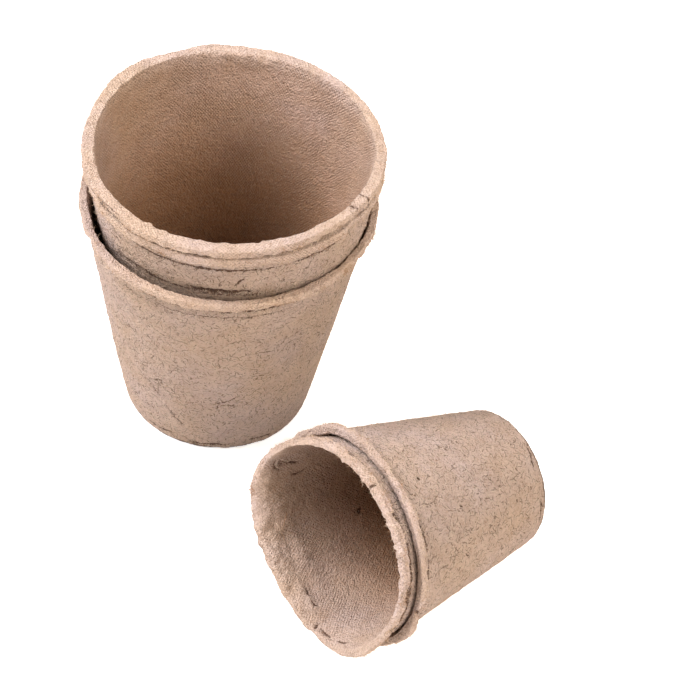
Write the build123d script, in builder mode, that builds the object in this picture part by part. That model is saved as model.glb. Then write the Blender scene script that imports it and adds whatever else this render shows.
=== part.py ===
"""Five moulded fibre seedling pots: three large ones nested upright, two small ones nested on their side.

Millimetres, +Z up. The origin is the middle of the drain hole of the lowest upright pot, on the
surface that the pots stand on. Each pot is one moulded piece: a tapered wall out of round by a few
slow waves, a lip that turns outward and down, a rounded foot and a drain hole in the floor.
"""

import os
from dataclasses import dataclass, replace
from math import asin, atan2, cos, hypot, radians, sin, tau

from build123d import *

# Large mould: eighty millimetres across the mouth.
large_mouth_radius = 40.0
large_base_radius = 29.2
large_height = 81.0
large_wall = 1.2
large_floor = 1.5
large_lip_reach = 1.8
large_lip_drop = 3.2
large_lip_crown = 1.3
large_lip_edge = 0.5
large_mouth_round = 0.4
large_foot_round = 1.6
large_floor_round = 2.0
large_drain_radius = 5.0

# Small mould: just under sixty millimetres across the mouth.
small_mouth_radius = 29.4
small_base_radius = 21.0
small_height = 57.2
small_wall = 1.0
small_floor = 1.3
small_lip_reach = 1.6
small_lip_drop = 2.8
small_lip_crown = 1.1
small_lip_edge = 0.4
small_mouth_round = 0.35
small_foot_round = 1.4
small_floor_round = 1.7
small_drain_radius = 4.5

# How the nested pots are held: the gap at which the middle pot's wall has bound in the lowest one's,
# how far it has slid over towards that one's mouth, the gap between the two upper lips, how far the
# lying inner pot stands out, and the least gap that drying leaves between any two walls.
middle_wall_gap = 1.2192
middle_shift_x = 0.26
middle_shift_y = 0.15
top_lip_gap = 0.3
lying_inner_lift = 7.2
least_wall_gap = 0.35

# Slow waves of the wall, as millimetres of rise at the rim and the bearing of a crest.
bottom_oval_rise = 0.5
bottom_oval_bearing = 51
bottom_trefoil_rise = 0.2
bottom_trefoil_bearing = 16
upper_oval_rise = 1.0
upper_oval_bearing = 72
upper_trefoil_rise = 0.4
upper_trefoil_bearing = 4
lying_oval_rise = 0.5
lying_oval_bearing = 32
lying_trefoil_rise = 0.9
lying_trefoil_bearing = 63
lying_quatrefoil_rise = 0.6
lying_quatrefoil_bearing = 24

# Degrees by which each rim leans about its own X and Y.
bottom_rim_lean = (0.7, 0.0)
upper_rim_lean = (-1.2, 0.3)
lying_inner_rim_lean = (-1.0, 1.2)

# Where the lying nest is: its base on the surface, and the bearing from its mouth to its base.
lying_base_x = 89.0
lying_base_y = -38.9
lying_bearing = 42.1

# Points of each wavy outline, and how far cutting shapes run past what they cut.
outline_points = 24
overrun = 2.0


@dataclass(frozen=True)
class Wave:
    """One slow wave of an outline: how many crests, how high, and the bearing of one of them."""

    crests: int
    rise: float
    bearing: float

    def at(self, angle):
        """The rise at an angle round the pot, in radians."""
        return self.rise * cos(self.crests * (angle - radians(self.bearing)))


@dataclass(frozen=True)
class Mould:
    """The sizes that a mould gives to every pot that comes off it."""

    mouth_radius: float
    base_radius: float
    height: float
    wall: float
    floor: float
    lip_reach: float
    lip_drop: float
    lip_crown: float
    lip_edge: float
    mouth_round: float
    foot_round: float
    floor_round: float
    drain_radius: float

    @property
    def slant(self):
        """Length of the wall for each unit of its height."""
        return hypot(1, (self.mouth_radius + self.wall - self.base_radius) / self.height)

    @property
    def wall_across(self):
        """The wall's thickness measured level, which its slant makes a little larger."""
        return self.wall * self.slant

    @property
    def rim_radius(self):
        """Radius of the wall's outside at the rim, under the lip."""
        return self.mouth_radius + self.wall_across

    @property
    def lip_radius(self):
        """Radius of the lip's outer edge."""
        return self.rim_radius + self.lip_reach

    @property
    def taper(self):
        """How much the wall's radius grows for each unit of height."""
        return (self.rim_radius - self.base_radius) / self.height


@dataclass(frozen=True)
class Pot:
    """One pot in the frame of the plane that it stands on."""

    name: str
    mould: Mould
    stand: Plane
    set_in: float = 0
    waves: tuple = ()
    wave_start: float = 0
    wave_full: float = 0
    rim_lean: tuple = (0, 0)

    @property
    def axis(self):
        """The pot's own axis, from its base to its mouth."""
        return Axis(self.stand.origin, self.stand.z_dir)

    @property
    def rim_plane(self):
        """The plane of the rim's top, leaning as the rim does."""
        return self.stand.offset(self.mould.height).rotated((*self.rim_lean, 0))

    def outline(self, plane, height, radius):
        """A face of this radius, drawn out of round by what has come in of the waves there."""
        share = 0
        if self.waves:
            share = max(0, (height - self.wave_start) / (self.wave_full - self.wave_start))
        with BuildSketch(plane) as face:
            if share == 0:
                Circle(radius)
            else:
                with BuildLine():
                    Spline(*self.wavy_points(radius, share), periodic=True)
                make_face()
        return face.sketch

    def wavy_points(self, radius, share):
        """Points once round a circle that a share of the waves moves in and out."""
        points = []
        for step in range(outline_points):
            angle = tau * step / outline_points
            reach = radius + share * sum(wave.at(angle) for wave in self.waves)
            points.append((reach * cos(angle), reach * sin(angle)))
        return points

    def wall_sections(self, low, inset):
        """Faces across the wall, inset from its outside, from a low height to past the rim."""
        lean = radians(sum(map(abs, self.rim_lean)))
        high = self.mould.height + self.mould.lip_radius * sin(lean) + overrun
        heights = [low, high]
        if self.waves:
            heights.insert(1, self.wave_start)
        outside = self.mould.base_radius - self.set_in - inset
        return [
            self.outline(self.stand.offset(height), height, outside + self.mould.taper * height)
            for height in heights
        ]


def nested(name, host, lift, free_from, shift=(0, 0)):
    """A pot of the host's mould, seated lift above its base and shifted sideways.

    Its wall keeps the mould's size where the lift and the taper leave room enough, and has drawn in
    as it dried where they don't. Its waves begin where it comes free of its neighbours, at
    free_from in the host's own heights.
    """
    drawn_in = host.mould.wall_across + least_wall_gap - lift * host.mould.taper
    return replace(
        host,
        name=name,
        stand=Plane(
            host.stand.from_local_coords((*shift, lift)), x_dir=host.stand.x_dir, z_dir=host.stand.z_dir
        ),
        set_in=host.set_in + max(0, drawn_in),
        wave_start=free_from - lift,
    )


def lying_stand(mould):
    """The plane of a pot's base when the pot lies on its side on the surface.

    The pot rests on the rounds of its foot and of its lip's lower edge. Both are circles in the
    pot's profile, and the line that touches both is the surface.
    """
    foot_along = mould.foot_round
    foot_out = mould.base_radius + mould.taper * foot_along - mould.foot_round * mould.slant
    lip_along = mould.height - mould.lip_drop + mould.lip_edge
    lip_out = mould.lip_radius - mould.lip_edge
    along = lip_along - foot_along
    out = lip_out - foot_out
    tilt = atan2(out, along) + asin((mould.lip_edge - mould.foot_round) / hypot(along, out))
    base_height = mould.foot_round + foot_out * cos(tilt) - foot_along * sin(tilt)
    bearing = radians(lying_bearing)
    mouth_way = (-cos(bearing) * cos(tilt), -sin(bearing) * cos(tilt), sin(tilt))
    side_way = (sin(bearing), -cos(bearing), 0)
    return Plane((lying_base_x, lying_base_y, base_height), x_dir=side_way, z_dir=mouth_way)


def pressed(pot):
    """The solid of one pot: its outside and lip, less the core that presses its cavity."""
    mould = pot.mould
    outside = pot.wall_sections(0, 0)
    cavity = pot.wall_sections(mould.floor, mould.wall_across)
    lip = pot.outline(pot.rim_plane, mould.height, mould.lip_radius)

    with BuildPart() as core:
        loft(cavity, ruled=True)
        fillet(core.edges().sort_by(pot.axis)[0], radius=mould.floor_round)

    with BuildPart() as body:
        loft(outside, ruled=True)
        split(bisect_by=pot.rim_plane, keep=Keep.BOTTOM)
        extrude(lip, amount=-mould.lip_drop)
        fillet(body.edges().sort_by(pot.axis)[-1], radius=mould.lip_crown)
        lip_edges = body.edges().group_by(SortBy.LENGTH)[-1]
        fillet(lip_edges.sort_by(pot.axis)[0], radius=mould.lip_edge)
        fillet(body.edges().sort_by(pot.axis)[0], radius=mould.foot_round)
        add(core.part, mode=Mode.SUBTRACT)
        mouth = body.faces().sort_by(pot.axis)[-1].inner_wires()[0]
        fillet(mouth.edges(), radius=mould.mouth_round)
        with Locations(pot.stand.offset(mould.floor)):
            Hole(radius=mould.drain_radius, depth=mould.floor + overrun)
    body.part.label = pot.name
    return body.part


large_mould = Mould(
    mouth_radius=large_mouth_radius,
    base_radius=large_base_radius,
    height=large_height,
    wall=large_wall,
    floor=large_floor,
    lip_reach=large_lip_reach,
    lip_drop=large_lip_drop,
    lip_crown=large_lip_crown,
    lip_edge=large_lip_edge,
    mouth_round=large_mouth_round,
    foot_round=large_foot_round,
    floor_round=large_floor_round,
    drain_radius=large_drain_radius,
)

small_mould = Mould(
    mouth_radius=small_mouth_radius,
    base_radius=small_base_radius,
    height=small_height,
    wall=small_wall,
    floor=small_floor,
    lip_reach=small_lip_reach,
    lip_drop=small_lip_drop,
    lip_crown=small_lip_crown,
    lip_edge=small_lip_edge,
    mouth_round=small_mouth_round,
    foot_round=small_foot_round,
    floor_round=small_floor_round,
    drain_radius=small_drain_radius,
)

# The floor keeps the foot of the lowest pot round, so its waves begin above the floor's round.
bottom_pot = Pot(
    name="upright_bottom_pot",
    mould=large_mould,
    stand=Plane.XY,
    waves=(
        Wave(2, bottom_oval_rise, bottom_oval_bearing),
        Wave(3, bottom_trefoil_rise, bottom_trefoil_bearing),
    ),
    wave_start=large_floor + large_floor_round,
    wave_full=large_height,
    rim_lean=bottom_rim_lean,
)

# The middle pot stands as far out as the taper needs to leave its wall that gap. The top pot's lip
# rests on the middle pot's, so the two share their waves and the lean of their rims. The waves have
# come in fully where the top pot's rim is.
middle_lift = (large_mould.wall_across + middle_wall_gap) / large_mould.taper
top_lift = large_lip_drop + top_lip_gap
middle_shift = (middle_shift_x, middle_shift_y)
middle_pot = replace(
    nested("upright_middle_pot", bottom_pot, middle_lift, large_height, middle_shift),
    waves=(
        Wave(2, upper_oval_rise, upper_oval_bearing),
        Wave(3, upper_trefoil_rise, upper_trefoil_bearing),
    ),
    wave_full=large_height + top_lift,
    rim_lean=upper_rim_lean,
)
top_pot = replace(
    nested("upright_top_pot", middle_pot, top_lift, middle_pot.wave_start),
    wave_full=large_height,
)

lying_outer_pot = Pot(name="lying_outer_pot", mould=small_mould, stand=lying_stand(small_mould))
lying_inner_pot = replace(
    nested("lying_inner_pot", lying_outer_pot, lying_inner_lift, small_height),
    waves=(
        Wave(2, lying_oval_rise, lying_oval_bearing),
        Wave(3, lying_trefoil_rise, lying_trefoil_bearing),
        Wave(4, lying_quatrefoil_rise, lying_quatrefoil_bearing),
    ),
    wave_full=small_height,
    rim_lean=lying_inner_rim_lean,
)

os.makedirs("parts", exist_ok=True)
for pot in (bottom_pot, middle_pot, top_pot, lying_outer_pot, lying_inner_pot):
    solid = pressed(pot)
    export_step(solid, f"parts/{pot.name}.step")
    box = solid.bounding_box()
    print(pot.name, "lowest point", round(box.min.Z, 3), "highest point", round(box.max.Z, 3))
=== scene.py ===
"""Moulded fibre seedling pots, dressed: three large ones nested upright and two small ones on their side.

Each pot is one closed mesh on the same shape as its solid: a tapered wall that has dried a little out
of round, a lip that turns outward and down with a torn lower edge, felt, cracks and lifted flakes.
Loose fibres are pieces of their own and ride on the pot that they grow from.

A pot is worked out in its own frame in millimetres, with the middle of its base at the origin and its
mouth towards +Z, and is then placed in the row's frame in metres.
"""

from __future__ import annotations

import logging
import math
from dataclasses import dataclass
from enum import Enum

import bpy
import numpy as np
from mathutils import Matrix, Vector

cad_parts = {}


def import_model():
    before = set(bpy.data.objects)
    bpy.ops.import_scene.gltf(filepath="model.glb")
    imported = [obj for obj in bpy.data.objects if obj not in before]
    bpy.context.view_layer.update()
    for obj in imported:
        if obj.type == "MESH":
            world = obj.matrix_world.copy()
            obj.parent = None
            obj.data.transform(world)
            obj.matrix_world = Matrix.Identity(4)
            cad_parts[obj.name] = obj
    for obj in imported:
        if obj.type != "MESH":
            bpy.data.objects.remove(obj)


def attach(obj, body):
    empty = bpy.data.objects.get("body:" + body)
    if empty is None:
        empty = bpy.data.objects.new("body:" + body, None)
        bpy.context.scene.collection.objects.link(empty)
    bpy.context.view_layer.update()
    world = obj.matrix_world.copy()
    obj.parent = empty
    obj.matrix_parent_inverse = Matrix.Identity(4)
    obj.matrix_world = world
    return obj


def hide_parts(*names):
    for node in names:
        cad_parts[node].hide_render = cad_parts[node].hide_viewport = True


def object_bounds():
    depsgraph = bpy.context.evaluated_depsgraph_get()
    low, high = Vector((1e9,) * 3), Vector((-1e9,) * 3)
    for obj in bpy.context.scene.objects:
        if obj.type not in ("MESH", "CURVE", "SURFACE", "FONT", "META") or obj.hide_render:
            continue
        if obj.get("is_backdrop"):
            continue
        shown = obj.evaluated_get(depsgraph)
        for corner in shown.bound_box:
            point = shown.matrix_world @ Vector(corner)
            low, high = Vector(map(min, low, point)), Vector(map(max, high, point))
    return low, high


log = logging.getLogger("peat_pots")

MM = 0.001
# How far inside the solids' box every piece stays, in millimetres.
EDGE = 0.01
# The spacing of the screen's wires, round the pot and down it, in millimetres.
WIRE_ROUND = 0.5
WIRE_DOWN = 0.6
# How far below the rim the mouth's own edge effects reach, in millimetres.
MOUTH_BAND = 5


def smooth(low: float, high: float, value: np.ndarray) -> np.ndarray:
    """A smooth step from 0 at low to 1 at high.

    Args:
        low: Where the step begins.
        high: Where the step ends.
        value: The values to step.

    Returns:
        Shares from 0 to 1.
    """
    share = np.clip((value - low) / (high - low), 0, 1)
    return share * share * (3 - 2 * share)


def turn_between(bearing: np.ndarray, middle: float) -> np.ndarray:
    """Degrees from the middle to each bearing, the short way round."""
    return (bearing - middle + 180) % 360 - 180


def grid_faces(rows: int, columns: int, lines: int) -> np.ndarray:
    """Four-sided faces between neighbouring rows of points that each close on themselves.

    Args:
        rows: How many rows of faces.
        columns: How many points a row has.
        lines: How many rows of points there are, after which the first comes again.

    Returns:
        The corners of each face.
    """
    row, column = np.divmod(np.arange(rows * columns), columns)
    right, up = (column + 1) % columns, (row + 1) % lines
    corners = ((row, column), (row, right), (up, right), (up, column))
    return np.stack([line * columns + spot for line, spot in corners], axis=1)


def added(name: str, data: bpy.types.ID) -> bpy.types.Object:
    """Puts a new object into the scene.

    Args:
        name: The object's name.
        data: Its mesh, light or camera.

    Returns:
        The object.
    """
    item = bpy.data.objects.new(name, data)
    bpy.context.scene.collection.objects.link(item)
    return item


class Noise:
    """Seeded gradient noise in space, smooth and mostly between -1 and 1."""

    LATTICE = 256
    # What brings the noise into its range, and how far each finer layer lies from the one before.
    GAIN = 1.7
    NEXT = 17.3

    def __init__(self, seed: int) -> None:
        """Draws the lattice for a seed, which makes one noise differ from another."""
        draw = np.random.default_rng(seed)
        self.order = draw.permutation(self.LATTICE)
        ways = draw.normal(size=(self.LATTICE, 3))
        self.ways = ways / np.linalg.norm(ways, axis=1, keepdims=True)

    def at(self, points: np.ndarray) -> np.ndarray:
        """The noise at points.

        Args:
            points: Places, three numbers each, with one lattice cell to each unit.

        Returns:
            One value for each point.
        """
        cell = np.floor(points).astype(int)
        inside = points - cell
        fade = inside**3 * (inside * (inside * 6 - 15) + 10)
        total = np.zeros(len(points))
        for corner in np.ndindex(2, 2, 2):
            key = 0
            for spot in (cell + corner).T:
                key = self.order[(key + spot) % self.LATTICE]
            weight = np.prod(np.where(corner, fade, 1 - fade), axis=1)
            total += weight * np.einsum("ij,ij->i", self.ways[key], inside - corner)
        return total * self.GAIN

    def layers(
        self, points: np.ndarray, size: float, count: int = 3, fall: float = 0.5, apart: float = 0
    ) -> np.ndarray:
        """Noise in several sizes, each half the one before.

        Args:
            points: Places in millimetres.
            size: The largest lumps, in millimetres.
            count: How many sizes.
            fall: How much weaker each size is than the one before.
            apart: How far the points are moved, for noise unlike the rest from this seed.

        Returns:
            One value for each point, mostly between -1 and 1.
        """
        scaled = (points + apart) / size
        total, weight, whole = np.zeros(len(points)), 1.0, 0.0
        for _ in range(count):
            total += weight * self.at(scaled)
            whole += weight
            scaled = scaled * 2 + self.NEXT
            weight *= fall
        return total / whole


class Zone(Enum):
    """The stretches of a pot's profile, in the order in which the profile meets them."""

    HOLE = 0
    BASE = 1
    FOOT = 2
    OUTSIDE = 3
    LIP_UNDER = 4
    LIP_SIDE = 5
    LIP_TOP = 6
    INSIDE = 7
    FLOOR = 8


Zones = tuple[Zone, ...]
OUTER = (Zone.FOOT, Zone.OUTSIDE)
LIP = (Zone.LIP_UNDER, Zone.LIP_SIDE, Zone.LIP_TOP)
LIP_EDGE = (Zone.LIP_SIDE, Zone.LIP_UNDER)
LIP_FACE = (Zone.LIP_SIDE, Zone.LIP_TOP)
LIP_TOP = (Zone.LIP_TOP,)
INSIDE = (Zone.INSIDE,)
MOUTH = (Zone.INSIDE, Zone.LIP_TOP)
HOLLOW = (Zone.INSIDE, Zone.FLOOR)


def lies_in(zone: np.ndarray, zones: Zones) -> np.ndarray:
    """True where a zone's value is that of one of these zones."""
    return np.isin(zone, [each.value for each in zones])


@dataclass(frozen=True)
class Wave:
    """A slow wave of a pot's outline: how many crests, its rise at the rim, and a crest's bearing."""

    crests: int
    rise: float
    bearing: float


@dataclass(frozen=True)
class Crack:
    """A short curved crack in the fibre, in millimetres and degrees, with shade painted into its groove.

    slope is the way that it runs: 0 is level, towards larger bearings, and 90 is up the wall. bow is
    how far its middle stands off its chord, as a share of its length.
    """

    zones: Zones
    bearing: float
    height: float
    length: float
    slope: float
    bow: float
    width: float
    depth: float
    flake: float


@dataclass(frozen=True)
class Bite:
    """A place where a lip has torn: how wide, how far its edge is drawn in and up, and its shred.

    An edge drawn in under nought bends out. shred is how far the mouth's edge stands in.
    """

    bearing: float
    width: float
    inward: float = 0
    upward: float = 0
    shred: float = 0


@dataclass(frozen=True)
class Swelling:
    """A soft bump or dent in the wall, in millimetres, with how pale it is from rubbing, which on one fold
    is a painted highlight instead, and how much shade is painted on it.

    A rise under nought is a dent.
    """

    zones: Zones
    bearing: float
    height: float
    across: float
    tall: float
    rise: float
    pale: float = 0
    dark: float = 0


@dataclass(frozen=True)
class Tuft:
    """Loose fibres that stand out of one spot of a pot, or of a whole stretch of it."""

    zones: Zones
    count: int
    bearing: float = 0
    spread: float = 360
    length: tuple[float, float] = (0.5, 1.6)
    thickness: float = 0.06
    stand: float = 0.6


@dataclass(frozen=True)
class Strand:
    """One long loose fibre along the inside, from one bearing and height to another."""

    start: tuple[float, float]
    end: tuple[float, float]
    arch: float
    thickness: float


@dataclass(frozen=True)
class Mould:
    """The sizes that one mould gives to its pots, in millimetres."""

    mouth_radius: float
    base_radius: float
    height: float
    wall: float
    floor: float
    lip_reach: float
    lip_drop: float
    lip_crown: float
    lip_edge: float
    mouth_round: float
    foot_round: float
    floor_round: float
    drain_radius: float
    columns: int

    @property
    def wall_across(self) -> float:
        """The wall's thickness measured level."""
        return self.wall * math.hypot(1, (self.mouth_radius + self.wall - self.base_radius) / self.height)

    @property
    def lip_radius(self) -> float:
        """Radius of the lip's outer edge."""
        return self.mouth_radius + self.wall_across + self.lip_reach

    @property
    def lip_foot(self) -> float:
        """Height of the lip's lower edge."""
        return self.height - self.lip_drop

    @property
    def crease(self) -> float:
        """Height at which the lip's slanted underside meets the wall."""
        return self.lip_foot - self.lip_drop * 0.2

    @property
    def taper(self) -> float:
        """How much the wall's radius grows for each unit of height."""
        return (self.mouth_radius + self.wall_across - self.base_radius) / self.height


@dataclass(frozen=True)
class Seat:
    """Where a pot stands: the middle of its base and its own axes, in the row's frame."""

    origin: tuple[float, float, float]
    across: tuple[float, float, float] = (1, 0, 0)
    mouth: tuple[float, float, float] = (0, 0, 1)

    def axes(self) -> np.ndarray:
        """The pot's own three axes, a row each."""
        across, mouth = np.array(self.across, float), np.array(self.mouth, float)
        return np.array([across, np.cross(mouth, across), mouth])

    def placed(self, points: np.ndarray) -> np.ndarray:
        """Points of the pot's own frame in millimetres, in the row's frame in metres."""
        return (points @ self.axes() + np.array(self.origin)) * MM

    def shifted(self, lift: float, sideways: tuple[float, float] = (0, 0)) -> Seat:
        """The seat of a pot that stands lift further along the mouth's way, shifted sideways."""
        moved = np.array([*sideways, lift]) @ self.axes() + np.array(self.origin)
        return Seat(tuple(moved), self.across, self.mouth)


@dataclass
class Surface:
    """A pot's mesh as a grid: rows along its profile, columns round it. Lengths are in millimetres.

    The two values say how much shade is painted on each point (in cracks, pits, creases, under the lip, at
    the foot and between pots) and how pale it is from rubbing, with a painted highlight on one fold; both
    are there once the pot has weathered.
    """

    points: np.ndarray
    outward: np.ndarray
    bearing: np.ndarray
    height: np.ndarray
    zone: np.ndarray
    run: np.ndarray
    split: np.ndarray | None = None
    worn: np.ndarray | None = None

    def within(self, zones: Zones) -> np.ndarray:
        """True where the surface lies in one of these zones."""
        return lies_in(self.zone, zones)

    def off(self, bearing: float, height: float) -> tuple[np.ndarray, np.ndarray]:
        """How far each point lies from a place on the pot, round it and up it."""
        radius = np.hypot(self.points[:, 0], self.points[:, 1])
        return np.radians(turn_between(self.bearing, bearing)) * radius, self.height - height


def spaced(line: list[tuple[float, float]], step: float) -> np.ndarray:
    """Points evenly along a line of the profile, all but its last.

    Args:
        line: The line's corners, radius and height.
        step: The spacing, in millimetres.

    Returns:
        Radius and height of each point.
    """
    corners = np.array(line)
    lengths = np.r_[0, np.cumsum(np.hypot(*np.diff(corners, axis=0).T))]
    places = np.linspace(0, lengths[-1], max(2, round(lengths[-1] / step)), endpoint=False)
    return np.stack([np.interp(places, lengths, corners[:, k]) for k in (0, 1)], axis=1)


def rim_down(length: float, fine: float, fine_step: float, coarse_step: float) -> np.ndarray:
    """Shares of the way down a wall from its rim, close together near the rim.

    Args:
        length: The wall's length.
        fine: How far down the close spacing reaches.
        fine_step: The close spacing.
        coarse_step: The widest spacing.

    Returns:
        Shares from 0 at the rim to 1.
    """
    growth = 1.15
    places, step = [0.0], fine_step
    while places[-1] < length:
        if places[-1] > fine:
            step = min(step * growth, coarse_step)
        places.append(places[-1] + step)
    return np.array(places) / places[-1]


def arc(radius: float, height: float, size: float, start: float, end: float) -> list[tuple[float, float]]:
    """Points on a stretch of a circle in the profile.

    Args:
        radius: Where the circle's middle is, from the pot's axis.
        height: Where it is above the base.
        size: The circle's own radius.
        start: Where the stretch starts, in degrees.
        end: Where it ends.

    Returns:
        Radius and height of each point.
    """
    angles = np.radians(np.linspace(start, end, 7))
    return [(radius + size * math.cos(a), height + size * math.sin(a)) for a in angles]


@dataclass
class FibrePot:
    """One moulded fibre pot and what has happened to it. Lengths are in millimetres."""

    name: str
    body: str
    mould: Mould
    seat: Seat
    seed: int
    set_in: float = 0
    waves: tuple[Wave, ...] = ()
    wave_start: float = 0
    wave_full: float = 1
    rim_lean: tuple[float, float] = (0, 0)
    fine_outside: float = 100
    fine_inside: float = 100
    fine_step: float = 0.5
    coarse_step: float = 2.0
    felt: float = 0.28
    dent: float = 0.2
    ragged: float = 0.75
    small_cracks: int = 44
    cracks: tuple[Crack, ...] = ()
    bites: tuple[Bite, ...] = ()
    swellings: tuple[Swelling, ...] = ()
    tufts: tuple[Tuft, ...] = ()
    strands: tuple[Strand, ...] = ()
    # Shade painted into the inside: how much of it already shows near the rim, how strongly it lies over one
    # side, the bearing where that side is darkest, and the bearing where it stays furthest below the rim.
    tint: float = 0.5
    damp: float = 0
    damp_bearing: float = 0
    dry_bearing: float = 0

    def profile(self) -> tuple[np.ndarray, np.ndarray, np.ndarray]:
        """The pot's closed profile, from the drain hole out, up, over the lip and down inside.

        Returns:
            Radius and height of each row, and the value of its zone.
        """
        mould = self.mould
        outside = mould.base_radius - self.set_in
        inside = outside - mould.wall_across
        top, under, floor = mould.height, mould.lip_foot, mould.floor
        lip, edge, crown, cheek = mould.lip_radius, mould.lip_edge, mould.lip_crown, mould.mouth_round
        foot, bend, hole = mould.foot_round, mould.floor_round, mould.drain_radius
        step, close, wide = self.fine_step, self.fine_step * 0.7, self.fine_step * 2

        def wall(base: float, low: float, high: float, fine: float) -> np.ndarray:
            """Points down a wall from its rim, close together as far down as fine."""
            shares = rim_down(high - low, fine, step, self.coarse_step)
            heights = high + (low - high) * shares
            return np.stack([base + mould.taper * heights, heights], axis=1)

        foot_middle = outside + mould.taper * foot - foot
        bend_middle = inside + mould.taper * (floor + bend) - bend
        mouth = inside + mould.taper * top
        side = arc(lip - edge, under + edge, edge, -90, 0) + [(lip, top - crown)]
        over = arc(lip - crown, top - crown, crown, 0, 90) + arc(mouth + cheek, top - cheek, cheek, 90, 180)
        bottom = arc(bend_middle, floor + bend, bend, 0, -90) + [(hole, floor)]
        # One line for each zone, in the zones' order.
        lines = (
            spaced([(hole, floor), (hole, 0)], step),
            spaced([(hole, 0), (foot_middle, 0)], wide),
            spaced(arc(foot_middle, foot, foot, -90, 0), step),
            wall(outside, foot, mould.crease, self.fine_outside)[:0:-1],
            spaced([(outside + mould.taper * under, mould.crease), (lip - edge, under)], close),
            spaced(side, close),
            spaced(over, close),
            wall(inside, floor + bend, top - cheek, self.fine_inside)[:-1],
            spaced(bottom, wide),
        )
        radius, height = np.concatenate(lines).T
        zone = np.concatenate([np.full(len(line), zone.value) for zone, line in zip(Zone, lines)])
        return radius, height, zone

    def surface(self) -> Surface:
        """The pot's smooth surface, out of round and leaning as it dried, with its ragged lip.

        Returns:
            The surface before it weathers.
        """
        mould = self.mould
        radius, height, zone = self.profile()
        around = np.arange(mould.columns) * math.tau / mould.columns

        wall_radius = mould.base_radius - self.set_in + mould.taper * height
        is_lip = lies_in(zone, LIP)
        low = np.where(is_lip, np.clip((mould.height - height) / mould.lip_drop, 0, 1.3), 0)
        out = np.where(is_lip, np.clip((radius - wall_radius) / (mould.lip_radius - wall_radius), 0, 1), 0)
        near_mouth = lies_in(zone, INSIDE) * smooth(mould.height - MOUTH_BAND, mould.height, height)
        near_mouth = np.where(lies_in(zone, LIP_TOP), 1 - out, near_mouth)
        inward, upward, mouth = self.tears(around)
        radii = radius[:, None] - np.outer(out, inward) - np.outer(near_mouth, mouth)
        heights = height[:, None] + np.outer(low**2, upward)

        at = np.where(is_lip, mould.height, height)
        share = np.clip((at - self.wave_start) / (self.wave_full - self.wave_start), 0, None)
        for wave in self.waves:
            angle = wave.crests * (around - math.radians(wave.bearing))
            radii += np.outer(share * wave.rise, np.cos(angle))
        x, y = radii * np.cos(around), radii * np.sin(around)
        lean_x, lean_y = (math.tan(math.radians(angle)) for angle in self.rim_lean)
        leaning = smooth(mould.lip_foot - 3 * mould.lip_drop, mould.lip_foot, height)
        heights = heights + leaning[:, None] * (y * lean_x - x * lean_y)

        points = np.stack([x, y, heights], axis=-1)
        round_it, along = (np.roll(points, -1, axis=axis) - np.roll(points, 1, axis=axis) for axis in (1, 0))
        outward = np.cross(round_it, along)
        outward /= np.linalg.norm(outward, axis=-1, keepdims=True)
        everywhere = (
            np.broadcast_to(value, x.shape).ravel()
            for value in (np.degrees(around), height[:, None], zone[:, None])
        )
        run = np.r_[0, np.cumsum(np.hypot(np.diff(radius), np.diff(height)))]
        return Surface(points.reshape(-1, 3), outward.reshape(-1, 3), *everywhere, run)

    def tears(self, around: np.ndarray) -> tuple[np.ndarray, np.ndarray, np.ndarray]:
        """How ragged the rim is, all the way round.

        Args:
            around: Angles in radians.

        Returns:
            How far the lip's edge is drawn in, how far its lower edge is drawn up, and how far the
            edge of the mouth stands in.
        """
        noise = Noise(self.seed + 1)
        ring = np.stack([np.cos(around), np.sin(around), np.zeros_like(around)], axis=1)
        ring *= self.mould.lip_radius
        nibbled = np.clip(noise.layers(ring, 2.4, 3, 0.8, apart=20) - 0.05, 0, None)
        inward = 0.1 + 0.9 * self.ragged * np.clip(0.35 + noise.layers(ring, 11, 4, 0.75), 0, 1)
        inward += 0.8 * self.ragged * nibbled
        upward = self.ragged * (1.7 * noise.layers(ring, 8, 5, 0.8, apart=50) + 0.5)
        mouth = self.ragged * (noise.layers(ring, 9, 5, 0.75, apart=150) + 0.7 * nibbled) - 0.25
        for bite in self.bites:
            share = turn_between(np.degrees(around), bite.bearing)
            share = np.radians(share) * self.mould.lip_radius / (bite.width / 2)
            notch = smooth(1, 0.3, np.abs(share + 0.15 * noise.layers(ring, 1.5, 2)))
            inward += notch * bite.inward
            upward += notch * bite.upward
            mouth += notch * bite.shred
        return np.clip(inward, -1, None), np.clip(upward, 0, None), mouth

    def random_cracks(self) -> list[Crack]:
        """Small splits all over the outside, and a few inside.

        Returns:
            The splits.
        """
        draw = np.random.default_rng(self.seed + 2)
        found = []
        for number in range(self.small_cracks):
            inside = number % 5 == 0
            slope = draw.choice([35, 60, 80, 130]) + draw.normal(0, 15)
            found.append(
                Crack(
                    zones=INSIDE if inside else OUTER,
                    bearing=draw.uniform(0, 360),
                    height=draw.uniform(2, self.mould.height - 6),
                    length=float(np.clip(draw.lognormal(1.2, 0.4), 2, 8)),
                    slope=slope,
                    bow=draw.uniform(-0.3, 0.3),
                    width=draw.uniform(0.26, 0.36),
                    depth=draw.uniform(0.08, 0.32) * (0.6 if inside else 1),
                    flake=draw.uniform(0.05, 0.25),
                )
            )
        return found

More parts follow.
